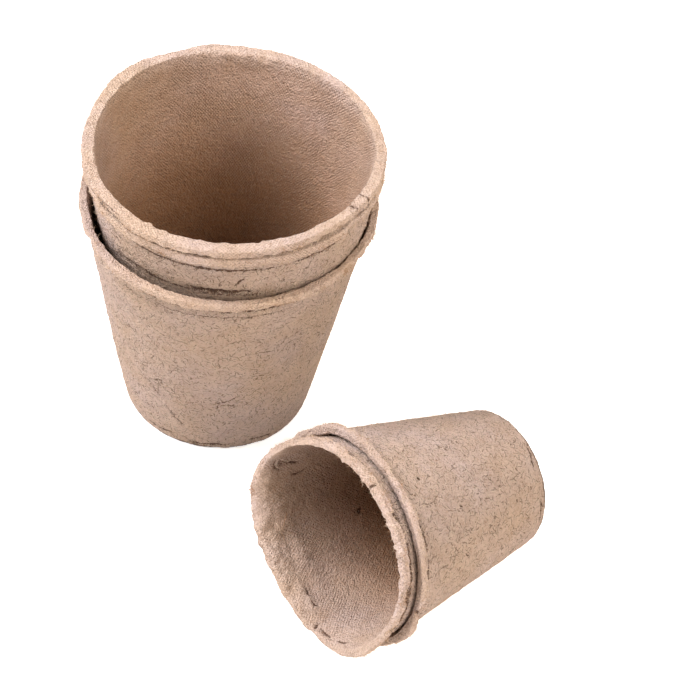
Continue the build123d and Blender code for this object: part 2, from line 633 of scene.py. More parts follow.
    def cut(self, surface: Surface, crack: Crack) -> tuple[np.ndarray, np.ndarray, np.ndarray]:
        """What one crack does to the surface.

        Args:
            surface: The pot's surface.
            crack: The crack.

        Returns:
            The points that it changes, how far they move out, and how deep in the crack they lie.
        """
        reach = crack.length * 0.8
        turned, raised = surface.off(crack.bearing, crack.height)
        near = (np.abs(turned) < reach) & (np.abs(raised) < reach) & surface.within(crack.zones)
        spots = np.flatnonzero(near)
        turned, raised = turned[spots], raised[spots]
        slope = math.radians(crack.slope)
        along = turned * math.cos(slope) + raised * math.sin(slope)
        off = raised * math.cos(slope) - turned * math.sin(slope)
        rest = np.clip(1 - (2 * along / crack.length) ** 2, 0, 1)
        off = off - crack.bow * crack.length * rest
        off += 1.3 * crack.width * Noise(self.seed + 5).layers(surface.points[spots], 2.2, 2, 0.7)
        width = crack.width * (0.5 + 0.5 * np.sqrt(rest))
        groove = np.exp(-((off / width) ** 2)) * np.sqrt(rest)
        lifted = np.exp(-(((off - 2.2 * width) / (1.4 * width)) ** 2)) * rest
        return spots, crack.flake * lifted - crack.depth * groove, groove

    def weather(self, surface: Surface) -> None:
        """Gives the surface its felt, its dents, its cracks and its rubbed lip edges, paints shade into its
        cracks, pits, creases, under the lip and at the foot, and a highlight onto one fold.

        Args:
            surface: The pot's smooth surface, which is changed.
        """
        mould, points = self.mould, surface.points
        noise = Noise(self.seed)
        walls, lips, hollow = (surface.within(zones) for zones in (OUTER, LIP, HOLLOW))
        # How far the whole felt sits below the solid, and the most that it may sink or stand out.
        sunk, deepest, proudest = 0.08, -0.9, 0.14

        lumps = noise.layers(points, 2.8, 3, 0.7)
        moves = self.felt * lumps * np.where(hollow, 0.45, 1.0) - sunk
        pits = np.clip(noise.layers(points, 1.7, 2, 0.6, apart=90) - 0.4, 0, None)
        moves -= np.where(walls, 1.2, 0.3) * pits
        # Shade is painted into the pits here, and into each crack's groove below.
        split = np.clip(np.where(walls, 0.7, 0.3) * pits, 0, 1)
        dents = noise.layers(points, 24, 2, apart=40) - 0.2
        moves += self.dent * dents * np.where(lips, 0.4, 1.0)
        for crack in [*self.random_cracks(), *self.cracks]:
            spots, change, groove = self.cut(surface, crack)
            moves[spots] += change
            split[spots] = np.maximum(split[spots], groove * min(1, crack.depth / 0.35))
        above_foot = smooth(mould.foot_round, mould.foot_round + 8, surface.height)
        level = lips | surface.within((Zone.HOLE, Zone.BASE, Zone.FLOOR, Zone.FOOT))
        moves = np.clip(moves, deepest, np.where(level, 0, proudest * above_foot))

        # Under the lip, shade is painted only into the crease against the wall.
        crease = smooth(mould.lip_foot, mould.crease, surface.height)
        split = np.where(surface.within((Zone.LIP_UNDER,)), 0.9 * crease, split)
        rubbed = 0.4 + 0.9 * noise.layers(points, 5, 3, apart=7)
        worn = np.clip(np.where(surface.within(LIP_FACE), rubbed, 0), 0, 1)
        for swelling in self.swellings:
            turned, raised = surface.off(swelling.bearing, swelling.height)
            bump = np.exp(-((turned / swelling.across) ** 2) - (raised / swelling.tall) ** 2)
            bump *= surface.within(swelling.zones) * np.clip(1 + 0.9 * lumps, 0, 2)
            moves += swelling.rise * bump * np.where(walls, above_foot, 1)
            # Paleness is rubbing, except on the fold inside the top pot, where it is a painted highlight;
            # the dark is painted shade.
            worn = np.maximum(worn, swelling.pale * bump)
            split = np.maximum(split, swelling.dark * bump)
        # Painted shade in ragged patches along the foot, where the pot meets the floor, and in a ragged band
        # just below the lip.
        painted_foot_shade = smooth(mould.foot_round * 1.3, mould.foot_round * 0.4, surface.height) * walls
        painted_foot_shade = painted_foot_shade * np.clip(0.9 + 1.3 * noise.layers(points, 6, 3, apart=3), 0.25, 1)
        painted_shade_below_lip = smooth(mould.lip_foot - 1.2, mould.lip_foot - 0.3, surface.height) * walls
        painted_shade_below_lip *= np.clip(0.6 + 1.6 * noise.layers(points, 7, 3, apart=5), 0, 1)
        surface.split = np.maximum(split, np.maximum(painted_foot_shade, painted_shade_below_lip))
        surface.worn = worn
        surface.points = points + surface.outward * moves[:, None]

    def mesh(self, surface: Surface, room: tuple[np.ndarray, np.ndarray]) -> bpy.types.Mesh:
        """A closed Blender mesh of the surface, with what its material reads.

        Args:
            surface: The pot's weathered surface.
            room: The lowest and highest corner of the box that it stays in, in metres.

        Returns:
            The mesh, in metres in the row's frame.
        """
        columns, top = self.mould.columns, self.mould.height
        rows = len(surface.points) // columns
        faces = grid_faces(rows, columns, rows)
        mesh = bpy.data.meshes.new(self.name)
        mesh.from_pydata(np.clip(self.seat.placed(surface.points), *room).tolist(), [], faces.tolist())
        mesh.shade_smooth()
        hollow = surface.within(HOLLOW)
        # Painted shade inside: darker deeper down, and on a pot that lies, darker over the side towards one
        # bearing, below a ragged line under the rim.
        facing = np.clip(0.5 + 0.55 * np.cos(np.radians(surface.bearing - self.damp_bearing)), 0, 1)
        unshaded_rim_band = np.exp(-((turn_between(surface.bearing, self.dry_bearing) / 26) ** 2))
        side_shade_top = top - 0.5 - 8 * unshaded_rim_band + 3 * Noise(self.seed).layers(surface.points, 6, 3, 0.7)
        deep = self.tint + (1 - self.tint) * smooth(top * 0.92, top * 0.3, surface.height)
        values = {
            "split": surface.split,
            "worn": surface.worn,
            "printed": 0.8 * surface.within(LIP) + hollow,
            "inner": hollow * deep * (0.25 + 0.75 * smooth(top, top - MOUTH_BAND, surface.height)),
            "damp": self.damp * hollow * facing * smooth(0, 3, side_shade_top - surface.height),
        }
        for name, value in values.items():
            mesh.attributes.new(name, "FLOAT", "POINT").data.foreach_set("value", value.astype(np.float32))
        # How many wires lie between the profile's start and each row, and between two columns.
        run = np.r_[surface.run, surface.run[-1] + self.fine_step] / (2 * WIRE_DOWN)
        turns = round(math.tau * self.mould.mouth_radius / (2 * WIRE_ROUND)) / columns
        row, column = np.divmod(np.arange(rows * columns), columns)
        weave = np.zeros((rows * columns, 4, 3))
        weave[:, :, 0] = (column[:, None] + np.array([0, 1, 1, 0])) * turns
        weave[:, :, 1] = run[row[:, None] + np.array([0, 0, 1, 1])]
        woven = mesh.attributes.new("weave", "FLOAT_VECTOR", "CORNER")
        woven.data.foreach_set("vector", weave.astype(np.float32).ravel())
        return mesh

    def build(self, room: tuple[np.ndarray, np.ndarray]) -> tuple[bpy.types.Object, Surface]:
        """Makes the pot's piece in place of its solid.

        Args:
            room: The lowest and highest corner of the box that it stays in, in metres.

        Returns:
            The piece, and its surface for what grows from it.
        """
        surface = self.surface()
        self.weather(surface)
        piece = added(f"{self.name}_fibre", self.mesh(surface, room))
        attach(piece, self.body)
        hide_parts(self.name)
        return piece, surface


@dataclass
class LooseFibres:
    """The fibres that have come loose from one pot, as one mesh of thin closed strands."""

    pot: FibrePot
    room: tuple[np.ndarray, np.ndarray]
    rings: int = 6
    sides: int = 3

    def tufts(self) -> tuple[Tuft, ...]:
        """The tufts all over the pot, and those in places of their own."""
        share = self.pot.mould.mouth_radius / LARGE.mouth_radius
        everywhere = (
            Tuft((Zone.LIP_SIDE,), round(1000 * share), length=(0.4, 1.4), thickness=0.07, stand=0.5),
            Tuft(LIP_TOP, round(500 * share), length=(0.3, 0.9), stand=0.35),
            Tuft(OUTER, round(2200 * share), length=(0.4, 1.3), thickness=0.065, stand=0.5),
            Tuft(INSIDE, round(250 * share), length=(0.4, 1.2), thickness=0.05, stand=0.15),
        )
        return everywhere + self.pot.tufts

    def strands(self, surface: Surface) -> tuple[np.ndarray, np.ndarray]:
        """The middle lines of all fibres, in the pot's frame.

        Args:
            surface: The surface that they grow from.

        Returns:
            The points of each line, and each fibre's thickness.
        """
        draw = np.random.default_rng(self.pot.seed + 3)
        share = np.linspace(0, 1, self.rings)[None, :, None]
        lines, sizes = [], []
        for tuft in self.tufts():
            fits = surface.within(tuft.zones)
            fits &= np.abs(turn_between(surface.bearing, tuft.bearing)) <= tuft.spread / 2
            spots = draw.choice(np.flatnonzero(fits), tuft.count)
            outward = surface.outward[spots]
            aside = draw.normal(size=outward.shape)
            aside -= outward * np.einsum("ij,ij->i", aside, outward)[:, None]
            aside /= np.linalg.norm(aside, axis=1, keepdims=True)
            stand = np.clip(draw.normal(tuft.stand, 0.25, tuft.count), 0.05, 1)[:, None]
            way = outward * stand + aside * np.sqrt(1 - stand**2)
            curl = np.cross(way, draw.normal(size=outward.shape)) * 0.8
            length = draw.uniform(*tuft.length, tuft.count)[:, None, None]
            line = way[:, None, :] * share + curl[:, None, :] * share**2 * 0.5
            lines.append(surface.points[spots][:, None, :] - outward[:, None, :] * 0.1 + line * length)
            sizes.append(draw.uniform(0.6, 1.2, tuft.count) * tuft.thickness)
        for strand in self.pot.strands:
            lines.append(self.laid(surface, strand)[None])
            sizes.append(np.array([strand.thickness]))
        return np.concatenate(lines), np.concatenate(sizes)

    def laid(self, surface: Surface, strand: Strand) -> np.ndarray:
        """The middle line of a fibre that lies along the inside and arches off it between its ends.

        Args:
            surface: The surface that it lies on.
            strand: The fibre.

        Returns:
            The points of the line.
        """
        points = []
        outside = 1e6 * ~surface.within(INSIDE)
        for share in np.linspace(0, 1, self.rings):
            place = (a + (b - a) * share for a, b in zip(strand.start, strand.end))
            spot = (np.hypot(*surface.off(*place)) + outside).argmin()
            off = strand.thickness + strand.arch * math.sin(math.pi * share) * (1 - 0.3 * share)
            points.append(surface.points[spot] + surface.outward[spot] * off)
        return np.array(points)

    def build(self, surface: Surface) -> bpy.types.Object:
        """Makes the strands' piece.

        Args:
            surface: The surface that they grow from.

        Returns:
            The piece.
        """
        lines, sizes = self.strands(surface)
        placed = self.pot.seat.placed(lines.reshape(-1, 3)).reshape(lines.shape)
        low, high = self.room
        margin = 1.5 * sizes.max() * MM
        kept = ((placed > low + margin) & (placed < high - margin)).all(axis=(1, 2))
        placed, sizes = placed[kept], sizes[kept] * MM
        way = placed[:, -1] - placed[:, 0]
        way /= np.linalg.norm(way, axis=1, keepdims=True)
        first = np.cross(way, np.roll(way, 1, axis=1) + 0.1)
        first /= np.linalg.norm(first, axis=1, keepdims=True)
        second = np.cross(way, first)
        turn = (np.arange(self.sides) * math.tau / self.sides)[None, :, None]
        circle = first[:, None, :] * np.cos(turn) + second[:, None, :] * np.sin(turn)
        taper = np.linspace(1, 0.4, self.rings)
        girth = sizes[:, None, None, None] * taper[None, :, None, None] * circle[:, None, :, :]
        points = (placed[:, :, None, :] + girth).reshape(-1, 3)

        last = (self.rings - 1) * self.sides
        starts = np.arange(len(placed))[:, None, None] * self.sides * self.rings
        quads = (starts + grid_faces(self.rings - 1, self.sides, self.rings)).reshape(-1, 4)
        ends = np.array([np.arange(self.sides)[::-1], last + np.arange(self.sides)])
        caps = (starts + ends).reshape(-1, self.sides)
        mesh = bpy.data.meshes.new(f"{self.pot.name}_loose_fibres")
        mesh.from_pydata(points.tolist(), [], quads.tolist() + caps.tolist())
        mesh.shade_smooth()
        piece = added(mesh.name, mesh)
        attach(piece, self.pot.body)
        return piece


def linear(colour: str) -> tuple[float, float, float, float]:
    """An sRGB hex colour, such as "#c4ab98", as linear red, green and blue and an alpha of 1."""
    parts = (int(colour[k : k + 2], 16) / 255 for k in (1, 3, 5))
    return (*(p / 12.92 if p <= 0.04045 else ((p + 0.055) / 1.055) ** 2.4 for p in parts), 1.0)


def per_metre(size_mm: float) -> float:
    """A texture's scale for a pattern of this size in millimetres."""
    return 1000 / size_mm


class Nodes:
    """The node tree of a material or a world, which starts empty."""

    def __init__(self, owner: bpy.types.Material | bpy.types.World) -> None:
        """Takes the owner's tree and clears it."""
        owner.use_nodes = True
        self.tree = owner.node_tree
        self.tree.nodes.clear()

    def add(self, kind: str, *values, **named) -> bpy.types.NodeOutputs:
        """Adds a node with its settings and links.

        Args:
            kind: The node's type without ShaderNode, and its operation after a dot.
            values: A value or an output for each of the first inputs.
            named: The same by an input's name, with _ for a space. Names in small letters are
                settings and stand first.

        Returns:
            The node's outputs.
        """
        kind, _, operation = kind.partition(".")
        node = self.tree.nodes.new(f"ShaderNode{kind}")
        if operation:
            node.operation = operation
        for key, value in (*enumerate(values), *named.items()):
            if str(key).islower():
                setattr(node, key, value)
                continue
            socket = node.inputs[key.replace("_", " ") if isinstance(key, str) else key]
            if isinstance(value, bpy.types.NodeSocket):
                self.tree.links.new(value, socket)
            else:
                socket.default_value = value
        return node.outputs


@dataclass(frozen=True)
class Stroke:
    """Short curved splits, at most one in each cell of space, in millimetres.

    least is how strong a patch of noise has to be where they show.
    """

    cell: float
    length: float
    width: float
    bow: float
    least: float


@dataclass(frozen=True)
class MouldedFibre:
    """Peat and wood fibre, pressed wet on a wire screen and dried: matt and felted, with shade painted into
    its splits, creases and hollows.
    """

    name: str = "peat_and_wood_fibre_moulded"
    tan: str = "#d8bca5"
    peat: str = "#a07c62"
    rosy: str = "#dac3b9"
    # The shadow colour and the two browns after straw are painted shade: in splits and creases, deep in the
    # hollows, and over one side of the lying pot's inside. The dark brown of the specks also paints shade
    # into the small cuts, and straw a highlight onto the raised flakes.
    shadow: str = "#4b2d18"
    straw: str = "#dfcbb4"
    hollow: str = "#9b6f49"
    damp: str = "#57361f"
    speck: str = "#573c29"
    felt_size: float = 0.9
    lump_size: float = 2.4
    cloud_size: float = 22
    hair_length: float = 3.0
    hair_width: float = 0.3
    print_patch: float = 10
    wire_wander: float = 4
    speck_cell: float = 1.7
    speck_patch: float = 5
    strokes: tuple[Stroke, ...] = (
        Stroke(1.4, 0.9, 0.12, 0.2, 0.26),
        Stroke(2.4, 1.5, 0.13, 0.2, 0.38),
        Stroke(4.6, 2.7, 0.16, 0.12, 0.46),
    )

    def make(self) -> bpy.types.Material:
        """Builds the material.

        Returns:
            The material, which reads the values that a pot's mesh carries.
        """
        material = bpy.data.materials.new(self.name)
        add = Nodes(material).add
        place = add("TexCoord")["Object"]
        split, worn, printed, inner, damp = (
            add("Attribute", attribute_name=name)["Fac"]
            for name in ("split", "worn", "printed", "inner", "damp")
        )
        grain, fine, lump, blotch, cloud, clear, speckled = (
            add("TexNoise", Vector=place, Scale=per_metre(size), Detail=detail, Roughness=rough)["Fac"]
            for size, detail, rough in (
                (self.felt_size, 3, 0.65),
                (self.felt_size / 2, 2, 0.6),
                (self.lump_size, 2, 0.6),
                (self.lump_size * 2.2, 3, 0.6),
                (self.cloud_size, 3, 0.6),
                (self.print_patch, 2, 0.5),
                (self.speck_patch, 2, 0.5),
            )
        )

        # Where the screen's wires cross over and under, the fibre stands up and sinks in turn.
        weave = add("Attribute", attribute_name="weave")["Vector"]
        wander = add("TexNoise", Vector=place, Scale=per_metre(self.wire_wander), Detail=1)["Color"]
        sides = add("SeparateXYZ", add("VectorMath.MULTIPLY_ADD", wander, (0.7, 0.7, 0), weave)[0])
        waves = (add("Math.SINE", add("Math.MULTIPLY", sides[side], math.tau)[0])[0] for side in "XY")
        cushion = add("Math.MULTIPLY", *waves)[0]
        print_share = add("Math.MULTIPLY", printed, add("MapRange", clear, 0.4, 0.62, 0.3, 1)[0])[0]
        groove = add("Math.MULTIPLY", add("MapRange", cushion, -0.8, 0.1, 1, 0)[0], print_share)[0]

        # Hairs: noise drawn out along three slanting ways.
        hairs = 0
        for turn in (0.6, 2.2, 3.9):
            drawn = (1, self.hair_width / self.hair_length, 1)
            slanted = add("Mapping", Vector=place, Rotation=(turn, turn * 0.7, turn * 1.3), Scale=drawn)[0]
            hair = add("TexNoise", Vector=slanted, Scale=per_metre(self.hair_width), Detail=1)["Fac"]
            hairs = add("Math.MAXIMUM", hairs, add("MapRange", hair, 0.6, 0.78)[0])[0]

        # Strokes: a short curved crack in each cell of space, with a raised flake along one side; shade is
        # painted into the crack and a highlight onto the flake.
        middle = (0.5, 0.5, 0.5)
        spot = add("VectorMath.SCALE", place, Scale=1 / MM)[0]
        jitter = add("TexNoise", Vector=spot, Scale=0.9, Detail=2)["Color"]
        spot = add("VectorMath.ADD", spot, add("VectorMath.SUBTRACT", jitter, middle)[0])[0]
        cuts, flakes = 0, 0
        for stroke in self.strokes:
            length, width = stroke.length, stroke.width
            cells = add("TexVoronoi", Vector=spot, Scale=1 / stroke.cell, Randomness=1)
            off = add("VectorMath.SUBTRACT", spot, cells["Position"])[0]
            way = add("VectorMath.NORMALIZE", add("VectorMath.SUBTRACT", cells["Color"], middle)[0])[0]
            far = add("VectorMath.LENGTH", off)["Value"]
            bend = add("Math.MULTIPLY", add("Math.MULTIPLY", far, far)[0], stroke.bow / length)[0]
            side = add("Math.ADD", add("VectorMath.DOT_PRODUCT", off, way)["Value"], bend)[0]
            patch = add("TexNoise", Vector=place, Scale=per_metre(stroke.cell * 2), Detail=1)["Fac"]
            patch = add("MapRange", patch, stroke.least, stroke.least + 0.1)[0]
            there = add("Math.MULTIPLY", add("MapRange", far, length * 0.55, length, 1, 0)[0], patch)[0]
            cut = add("MapRange", add("Math.ABSOLUTE", side)[0], width * 0.3, width, 1, 0)[0]
            flake = add("MapRange", side, width, width * 5, 1, 0)[0]
            flake = add("Math.MULTIPLY", add("MapRange", side, 0, width)[0], flake)[0]
            cuts = add("Math.MAXIMUM", cuts, add("Math.MULTIPLY", there, cut)[0])[0]
            flakes = add("Math.MAXIMUM", flakes, add("Math.MULTIPLY", there, flake)[0])[0]
        rough_share = add("MapRange", printed, 0, 1, 1, 0.25)[0]
        cuts, flakes = (add("Math.MULTIPLY", marks, rough_share)[0] for marks in (cuts, flakes))

        # The painted shade of splits, creases and gaps ends in a crisp ragged edge.
        fray = add("Math.MULTIPLY", add("Math.SUBTRACT", fine, 0.5)[0], add("MapRange", split, 0, 0.2)[0])[0]
        dark = add("MapRange", add("Math.ADD", split, fray)[0], 0.3, 0.6)[0]
        specks = add("TexVoronoi", Vector=place, Scale=per_metre(self.speck_cell), Randomness=1)["Distance"]
        speckled = add("MapRange", speckled, 0.52, 0.6)[0]
        specks = add("Math.MULTIPLY", add("MapRange", specks, 0.1, 0.2, 1, 0)[0], speckled)[0]

        # Each colour lies over those before it: where it shows, how strongly, and the colour.
        colour = linear(self.tan)
        for where, strength, over in (
            (add("MapRange", cloud, 0.35, 0.65)[0], 1, self.rosy),
            (add("MapRange", blotch, 0.38, 0.7)[0], 0.25, self.peat),
            # The next two are painted shade: deeper in the hollows, and over one side of the lying pot's
            # inside.
            (inner, 0.95, self.hollow),
            (damp, 1, self.damp),
            (add("MapRange", grain, 0.5, 0.72, 0, 0.5)[0], 1, self.peat),
            (add("MapRange", fine, 0.52, 0.7, 0, 0.35)[0], 1, self.peat),
            (hairs, 0.3, self.straw),
            (worn, 0.12, self.straw),
            (specks, 0.5, self.speck),
            (groove, 0.45, self.shadow),
            # Painted highlight on the raised flakes, and painted shade in the cuts.
            (flakes, 0.4, self.straw),
            (cuts, 0.68, self.speck),
            (dark, 0.85, self.shadow),
        ):
            share = add("Math.MULTIPLY", where, strength)[0]
            colour = add("Mix", data_type="RGBA", Factor=share, A=colour, B=linear(over))["Result"]

        # Each height is in millimetres.
        lift = 0
        for value, height in (
            (cushion, add("Math.MULTIPLY", print_share, 0.16)[0]),
            (grain, add("MapRange", printed, 0, 1, 2.6, 1.4)[0]),
            (fine, add("MapRange", printed, 0, 1, 1.2, 0.5)[0]),
            (hairs, 0.06),
            (cuts, -0.26),
            (flakes, 0.25),
            (lump, 0.8),
        ):
            lift = add("Math.ADD", lift, add("Math.MULTIPLY", value, height)[0])[0]
        shader = add(
            "BsdfPrincipled",
            Base_Color=colour,
            Roughness=add("MapRange", grain, 0.3, 0.7, 0.86, 1.0)[0],
            Normal=add("Bump", Strength=1, Distance=MM, Height=lift)[0],
            IOR=1.45,
            Specular_IOR_Level=0.12,
            Sheen_Weight=0.04,
            Sheen_Roughness=0.6,
        )
        add("OutputMaterial", Surface=shader[0])
        return material


@dataclass(frozen=True)
class LooseStraw:
    """Single wood fibres that stand free of the felt: matt straw, from pale to brown in patches."""

    name: str = "wood_fibre_loose"
    pale: str = "#d9c4ac"
    brown: str = "#a98466"
    patch_size: float = 4

    def make(self) -> bpy.types.Material:
        """Builds the material.

        Returns:
            The material.
        """
        material = bpy.data.materials.new(self.name)
        add = Nodes(material).add
        place = add("TexCoord")["Object"]
        patch = add("TexNoise", Vector=place, Scale=per_metre(self.patch_size), Detail=2)["Fac"]
        share = add("MapRange", patch, 0.35, 0.65)[0]
        pale, brown = linear(self.pale), linear(self.brown)
        colour = add("Mix", data_type="RGBA", Factor=share, A=pale, B=brown)["Result"]
        shader = add("BsdfPrincipled", Base_Color=colour, Roughness=0.85, IOR=1.45, Specular_IOR_Level=0.2)
        add("OutputMaterial", Surface=shader[0])
        return material


@dataclass(frozen=True)
class Lamp:
    """A soft square light, in metres, degrees and watts."""

    name: str
    bearing: float
    elevation: float
    distance: float
    size: float
    power: float
    colour: str

    def make(self, target: Vector) -> None:
        """Hangs the light and turns it to the target.

        Args:
            target: The place that it shines on, in metres.
        """
        around, up = math.radians(self.bearing), math.radians(self.elevation)
        way = Vector((math.cos(around) * math.cos(up), math.sin(around) * math.cos(up), math.sin(up)))
        light = bpy.data.lights.new(self.name, "AREA")
        light.shape, light.size, light.energy = "SQUARE", self.size, self.power
        light.color = linear(self.colour)[:3]
        lamp = added(self.name, light)
        lamp.location = target + way * self.distance
        lamp.rotation_euler = (-way).to_track_quat("-Z", "Y").to_euler()


@dataclass(frozen=True)
class Studio:
    """The plain pale floor, the soft light and the camera. Lengths are in millimetres."""

    target: tuple[float, float, float] = (40.5, 20.3, 0)
    elevation: float = 48.47
    roll: float = -8.85
    distance: float = 563.1
    lens: float = 88.4
    sensor: float = 36
    nearest: float = 50
    farthest: float = 20000
    floor_size: float = 6000
    floor_colour: str = "#f3f0ec"
    floor_glow: float = 0.6
    sky: str = "#fff4ea"
    sky_strength: float = 0.6
    lamps: tuple[Lamp, ...] = (
        Lamp("window_left", 184, 48, 1.4, 0.8, 36, "#f8f8ff"),
        Lamp("fill_right", 328, 42, 1.6, 1.0, 26, "#fff4e8"),
    )

    def floor(self) -> None:
        """A wide pale floor that shows white to the camera and keeps the pots' shadow."""
        half = self.floor_size / 2 * MM
        corners = [(-half, -half, 0), (half, -half, 0), (half, half, 0), (-half, half, 0)]
        mesh = bpy.data.meshes.new("floor")
        mesh.from_pydata(corners, [], [(0, 1, 2, 3)])
        floor = added("floor", mesh)
        material = bpy.data.materials.new("card_pale_smooth")
        nodes = Nodes(material)
        matt = nodes.add("BsdfDiffuse", Color=linear(self.floor_colour))[0]
        glow = nodes.add("Emission", Strength=self.floor_glow)[0]
        both = nodes.add("AddShader", matt, glow)[0]
        nodes.add("OutputMaterial", Surface=nodes.add("MixShader", self.seen(nodes), matt, both)[0])
        mesh.materials.append(material)
        floor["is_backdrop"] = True

    def seen(self, nodes: Nodes) -> bpy.types.NodeSocket:
        """What tells the camera's own light paths from the rest.

        Args:
            nodes: Where it is added.

        Returns:
            1 for what the camera sees, straight, in gloss or through glass, and 0 for light on the pots.
        """
        path = nodes.add("LightPath")
        total = path["Is Camera Ray"]
        for name in ("Is Glossy Ray", "Is Transmission Ray"):
            total = nodes.add("Math.MAXIMUM", total, path[name])[0]
        return total

    def world(self) -> None:
        """An even sky that is plain white to the camera."""
        world = bpy.data.worlds.new("soft_white")
        bpy.context.scene.world = world
        nodes = Nodes(world)
        sky = nodes.add("Background", Color=linear(self.sky), Strength=self.sky_strength)[0]
        white = nodes.add("Background", Color=linear("#ffffff"), Strength=1.0)[0]
        nodes.add("OutputWorld", Surface=nodes.add("MixShader", self.seen(nodes), sky, white)[0])

    def camera(self) -> None:
        """The camera at the photograph's angle, which also leans a little to one side."""
        up = math.radians(self.elevation)
        lean = math.radians(self.roll)
        forward = Vector((0, math.cos(up), -math.sin(up)))
        level, over = Vector((1, 0, 0)), Vector((0, math.sin(up), math.cos(up)))
        across = level * math.cos(lean) - over * math.sin(lean)
        above = level * math.sin(lean) + over * math.cos(lean)
        data = bpy.data.cameras.new("camera")
        data.sensor_width, data.lens = self.sensor, self.lens
        data.clip_start, data.clip_end = self.nearest * MM, self.farthest * MM
        camera = added("camera", data)
        place = (Vector(self.target) - forward * self.distance) * MM
        turn = Matrix((across, above, -forward)).transposed()
        camera.matrix_world = Matrix.Translation(place) @ turn.to_4x4()
        bpy.context.scene.camera = camera

    def make(self) -> None:
        """Sets up the floor, the light and the camera."""
        bpy.context.scene.view_settings.view_transform = "Standard"
        self.floor()
        self.world()
        self.camera()
        for lamp in self.lamps:
            lamp.make(Vector(self.target) * MM)


LARGE = Mould(
    mouth_radius=40.0, base_radius=29.2, height=81.0, wall=1.2, floor=1.5, lip_reach=1.8, lip_drop=3.2,
    lip_crown=0.75, lip_edge=0.4, mouth_round=0.4, foot_round=1.6, floor_round=2.0, drain_radius=5.0,
    columns=480,
)
SMALL = Mould(
    mouth_radius=29.4, base_radius=21.0, height=57.2, wall=1.0, floor=1.3, lip_reach=1.6, lip_drop=2.8,
    lip_crown=0.7, lip_edge=0.35, mouth_round=0.35, foot_round=1.4, floor_round=1.7, drain_radius=4.5,
    columns=440,
)


@dataclass(frozen=True)
class Nest:
    """How the pots of one nest stand in each other. Lengths are in millimetres."""

    lift: float
    shift: tuple[float, float] = (0, 0)
    least_gap: float = 0.35

    def set_in(self, mould: Mould, host: float) -> float:
        """How far a nested pot's wall has drawn in to stay off its host's.

        Args:
            mould: The mould of both pots.
            host: How far the host's own wall has drawn in.

        Returns:
            The same measure for the nested pot.
        """
        return host + max(0, mould.wall_across + self.least_gap - self.lift * mould.taper)


def cracked(zones: Zones, *rows: tuple[float, ...]) -> tuple[Crack, ...]:
    """Cracks in the same zones, with a row of their other values for each."""
    return tuple(Crack(zones, *row) for row in rows)


